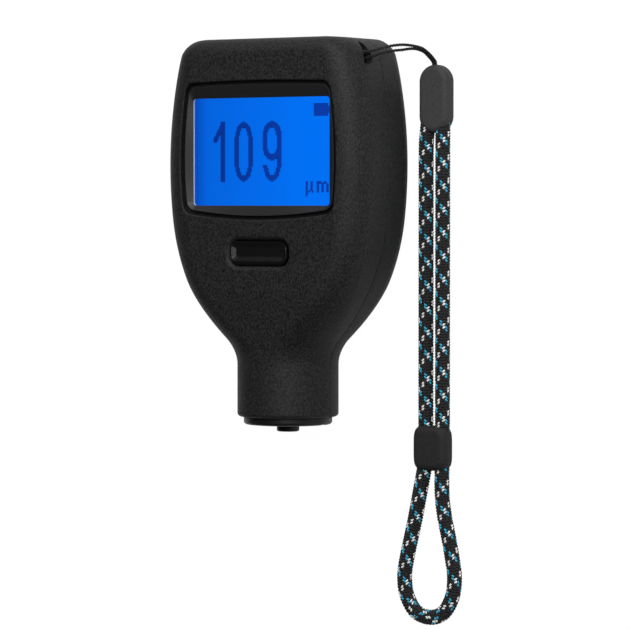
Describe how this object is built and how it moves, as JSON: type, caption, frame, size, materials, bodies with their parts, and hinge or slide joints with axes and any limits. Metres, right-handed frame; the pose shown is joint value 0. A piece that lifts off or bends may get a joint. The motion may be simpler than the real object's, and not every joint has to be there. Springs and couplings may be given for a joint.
{
  "type": "coating thickness gauge",
  "caption": "handheld coating thickness gauge with a display, a single key, a sprung probe tip in a grooved nose ring, a sliding battery cover and a braided wrist strap",
  "frame": {"origin": "centre of the housing's footprint, on the surface that the back rests on", "axes": "X across the display, Y from the probe tip to the top end, Z out of the display"},
  "size_m": [0.0754, 0.1495, 0.028],
  "materials": {
    "housing_abs": "moulded ABS with a fine spark-eroded grain",
    "trim_plastic": "smooth moulded black plastic, satin",
    "key_plastic": "polished black",
    "lens_acrylic": "clear, polished",
    "lcd": "lit blue display",
    "diffuser": "white moulded light guide",
    "elastomer": "layered silicone",
    "circuit_board": "solder mask",
    "chip_epoxy": "moulded epoxy",
    "ceramic": "fired ceramic with tinned ends",
    "shield_steel": "tinned sheet",
    "connector_nylon": "natural nylon",
    "plunger_red": "moulded",
    "steel": "bright zinc",
    "spring_steel": "drawn wire",
    "pole_iron": "polished",
    "copper": "enamelled winding wire",
    "lead_sheath": "soft sheath",
    "cell_jacket": "plain printed steel can",
    "thin_cord": "braided polyester",
    "clip_plastic": "moulded, satin",
    "braid": "braided polyester with white and blue flecks",
    "slider_plastic": "moulded, fine grain"
  },
  "bodies": {
    "housing": {"front_shell": "housing_abs", "rear_shell": "housing_abs", "display_bezel": "trim_plastic", "display_lens": "lens_acrylic", "lcd_glass": "lcd", "backlight": "diffuser", "elastomer_strips": "elastomer", "main_board": "circuit_board", "board_parts": "ceramic", "controller_chip": "chip_epoxy", "radio_module": "shield_steel", "board_connector": "connector_nylon", "tact_switch": "chip_epoxy", "nose_ring": "trim_plastic", "probe_spring": "spring_steel", "probe_cap": "connector_nylon", "probe_lead": "lead_sheath", "battery_1": "cell_jacket", "battery_2": "cell_jacket", "contact_bridge": "spring_steel", "contact_positive": "spring_steel", "contact_negative": "spring_steel", "case_screws": "steel", "board_screws": "steel", "strap_loop": "thin_cord", "strap_clip_front": "clip_plastic", "strap_clip_back": "clip_plastic", "strap_cord": "braid"},
    "key": {"button_cap": "key_plastic", "switch_plunger": "plunger_red"},
    "probe": {"probe_plunger": "trim_plastic", "probe_core": "pole_iron", "probe_coil": "copper"},
    "cover": {"battery_cover": "housing_abs"},
    "slider": {"strap_slider": "slider_plastic"}
  },
  "joints": [
    {"name": "key_press", "type": "slide", "parent": "housing", "child": "key", "axis": [0, 0, -1], "range_m": [0, 0.0006], "stiffness_N_per_m": 500},
    {"name": "probe_press", "type": "slide", "parent": "housing", "child": "probe", "axis": [0, 1, 0], "range_m": [0, 0.0019], "stiffness_N_per_m": 400, "deforming": ["probe_spring"]},
    {"name": "battery_cover_slide", "type": "slide", "parent": "housing", "child": "cover", "axis": [0, 1, 0], "range_m": [0, 0.056]},
    {"name": "slider_slide", "type": "slide", "parent": "housing", "child": "slider", "axis": [0, 1, 0], "range_m": [0, 0.072]}
  ]
}
